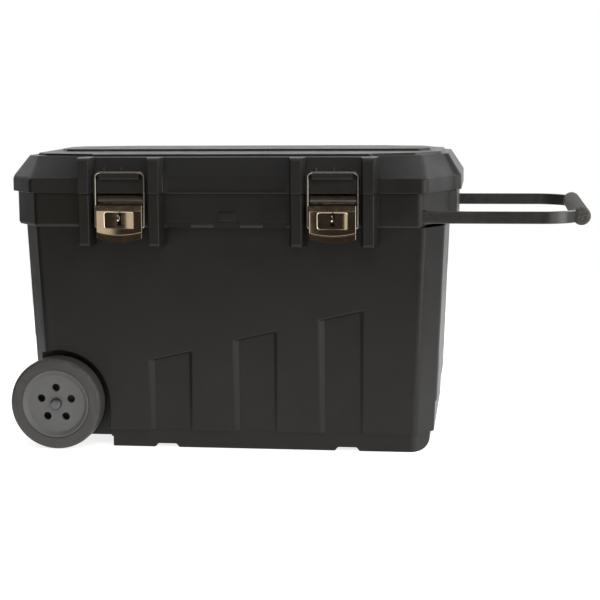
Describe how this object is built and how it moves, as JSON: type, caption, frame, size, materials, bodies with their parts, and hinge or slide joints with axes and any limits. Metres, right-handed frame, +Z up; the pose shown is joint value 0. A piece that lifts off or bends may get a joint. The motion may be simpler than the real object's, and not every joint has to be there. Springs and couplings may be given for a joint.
{
  "type": "rolling jobsite storage chest",
  "caption": "Rolling jobsite storage chest: moulded tub, hinged lid with draw latches, pull handle and two wheels.",
  "frame": {"origin": "centre of the flat underside, on the floor, midway along the box", "axes": "+X along the box towards the pull handle, +Y towards the hinges, +Z up"},
  "size_m": [0.971, 0.474, 0.4982],
  "materials": {
    "shell_black": "moulded structural foam, fine grain, matt black",
    "lid_black": "moulded polypropylene, fine grain, satin black",
    "tyre_black": "solid moulded tyre, dark grey, satin",
    "hub_grey": "moulded hub, mid grey, satin",
    "latch_nickel": "bright nickel plated pressed steel",
    "wire_nickel": "bright nickel plated steel wire",
    "steel": "zinc plated steel",
    "frame_grey": "dark grey powder coat",
    "grip_black": "ribbed soft grip, worn dark grey",
    "inner_black": "moulded dark grey inner fittings",
    "tray_grey": "moulded tray, dark grey"
  },
  "bodies": {
    "chest": {"tub": "shell_black", "hinge_pins": "steel", "arm_guide_front": "inner_black", "arm_guide_back": "inner_black", "arm_guide_screws": "steel", "arm_shelf_front": "inner_black", "arm_shelf_back": "inner_black", "tray_rail_front": "inner_black", "tray_rail_back": "inner_black", "axle": "steel", "axle_caps": "steel", "axle_washers": "steel", "axle_brackets": "inner_black", "axle_bracket_screws": "steel", "latch_base_left": "latch_nickel", "latch_pin_left": "steel", "padlock_staple_left": "latch_nickel", "latch_rivets_left": "steel", "latch_base_right": "latch_nickel", "latch_pin_right": "steel", "padlock_staple_right": "latch_nickel", "latch_rivets_right": "steel"},
    "lid": {"lid": "lid_black"},
    "handle": {"handle_frame": "frame_grey", "handle_grip": "grip_black", "handle_stop_pins": "steel"},
    "wheel_front": {"tyre_front": "tyre_black", "hub_front": "hub_grey"},
    "wheel_back": {"tyre_back": "tyre_black", "hub_back": "hub_grey"},
    "tray": {"tray": "tray_grey", "tray_dividers": "tray_grey"},
    "lever_left": {"latch_lever_left": "latch_nickel"},
    "bail_left": {"latch_bail_left": "wire_nickel"},
    "lever_right": {"latch_lever_right": "latch_nickel"},
    "bail_right": {"latch_bail_right": "wire_nickel"}
  },
  "joints": [
    {"name": "lid_hinge", "type": "hinge", "parent": "chest", "child": "lid", "pos_m": [0, 0.224, 0.432], "axis": [-1, 0, 0], "range_deg": [0, 105]},
    {"name": "handle_slide", "type": "slide", "parent": "chest", "child": "handle", "axis": [1, 0, 0], "range_m": [-0.175, 0]},
    {"name": "wheel_front_spin", "type": "hinge", "parent": "chest", "child": "wheel_front", "pos_m": [-0.295, -0.208, 0.078], "axis": [0, 1, 0], "continuous": true},
    {"name": "wheel_back_spin", "type": "hinge", "parent": "chest", "child": "wheel_back", "pos_m": [-0.295, 0.208, 0.078], "axis": [0, 1, 0], "continuous": true},
    {"name": "tray_slide", "type": "slide", "parent": "chest", "child": "tray", "axis": [1, 0, 0], "range_m": [0, 0.3]},
    {"name": "lever_left_pivot", "type": "hinge", "parent": "chest", "child": "lever_left", "pos_m": [-0.176, -0.228, 0.408], "axis": [-1, 0, 0], "range_deg": [0, 120]},
    {"name": "bail_left_pivot", "type": "hinge", "parent": "lever_left", "child": "bail_left", "pos_m": [-0.176, -0.229, 0.378], "axis": [-1, 0, 0], "range_deg": [-135, 0]},
    {"name": "lever_right_pivot", "type": "hinge", "parent": "chest", "child": "lever_right", "pos_m": [0.176, -0.228, 0.408], "axis": [-1, 0, 0], "range_deg": [0, 120]},
    {"name": "bail_right_pivot", "type": "hinge", "parent": "lever_right", "child": "bail_right", "pos_m": [0.176, -0.229, 0.378], "axis": [-1, 0, 0], "range_deg": [-135, 0]}
  ],
  "couplings": [
    {"joint": "bail_left_pivot", "follows": "lever_left_pivot", "ratio": -1.1},
    {"joint": "bail_right_pivot", "follows": "lever_right_pivot", "ratio": -1.1}
  ]
}
